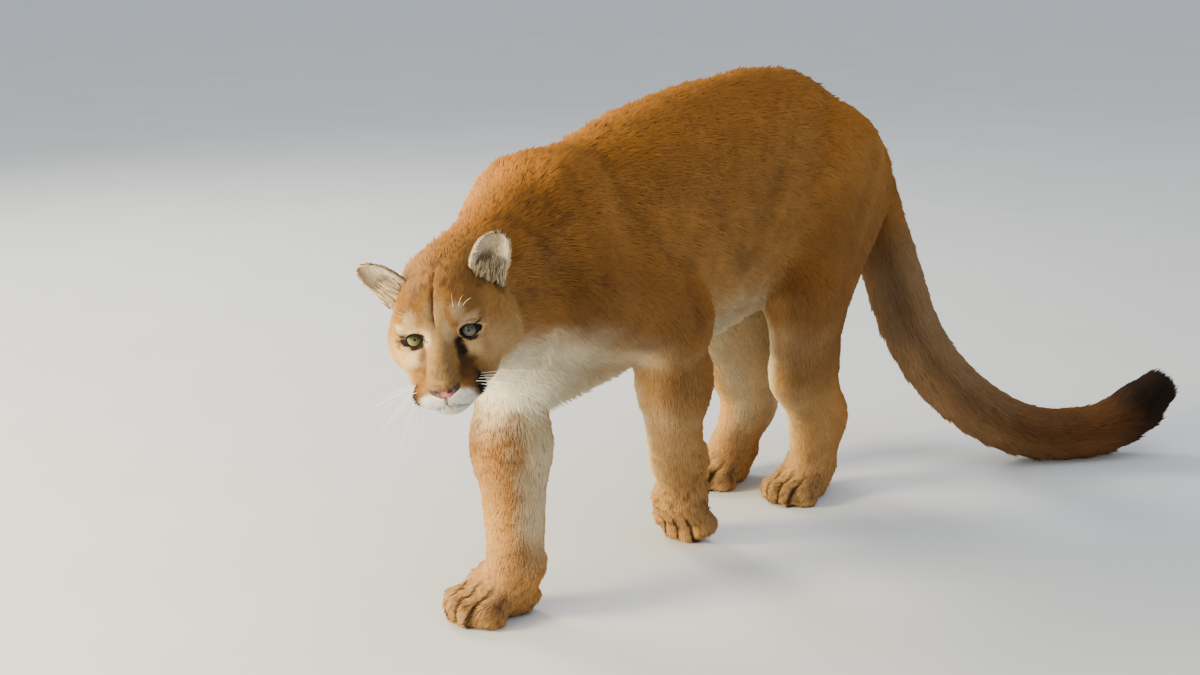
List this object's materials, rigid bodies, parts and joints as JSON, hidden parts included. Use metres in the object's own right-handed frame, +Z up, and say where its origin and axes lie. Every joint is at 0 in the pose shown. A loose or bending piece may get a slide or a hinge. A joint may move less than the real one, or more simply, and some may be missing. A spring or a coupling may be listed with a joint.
{
  "type": "cougar",
  "caption": "Life-size still cougar walking with head low, turned to its left, one forepaw lifting and a thick tail trailing to the floor.",
  "frame": {"origin": "middle of the whole animal's bounding box, on the floor it stands on", "axes": "+Z up, the animal walks towards -Y with its tail at +Y, and its left side is +X"},
  "size_m": [0.6112, 1.6668, 0.7343],
  "materials": {
    "coat": "short dense fur, tawny",
    "pale_coat": "short pale fur",
    "tail_coat": "dense dark brown fur",
    "nose_skin": "damp pink skin",
    "iris": "wet, glossy"
  },
  "bodies": {
    "root": {"torso": "coat", "neck": "coat", "head": "coat", "nose": "nose_skin", "eye_left": "iris", "eye_right": "iris", "ear_left": "pale_coat", "ear_right": "pale_coat", "upper_foreleg_left": "coat", "forearm_left": "coat", "forepaw_left": "coat", "upper_foreleg_right": "coat", "forearm_right": "coat", "forepaw_right": "coat", "thigh_left": "coat", "shank_left": "coat", "hindpaw_left": "coat", "thigh_right": "coat", "shank_right": "coat", "hindpaw_right": "coat", "tail_base": "tail_coat", "tail_middle": "tail_coat", "tail_tip": "tail_coat"}
  },
  "joints": []
}
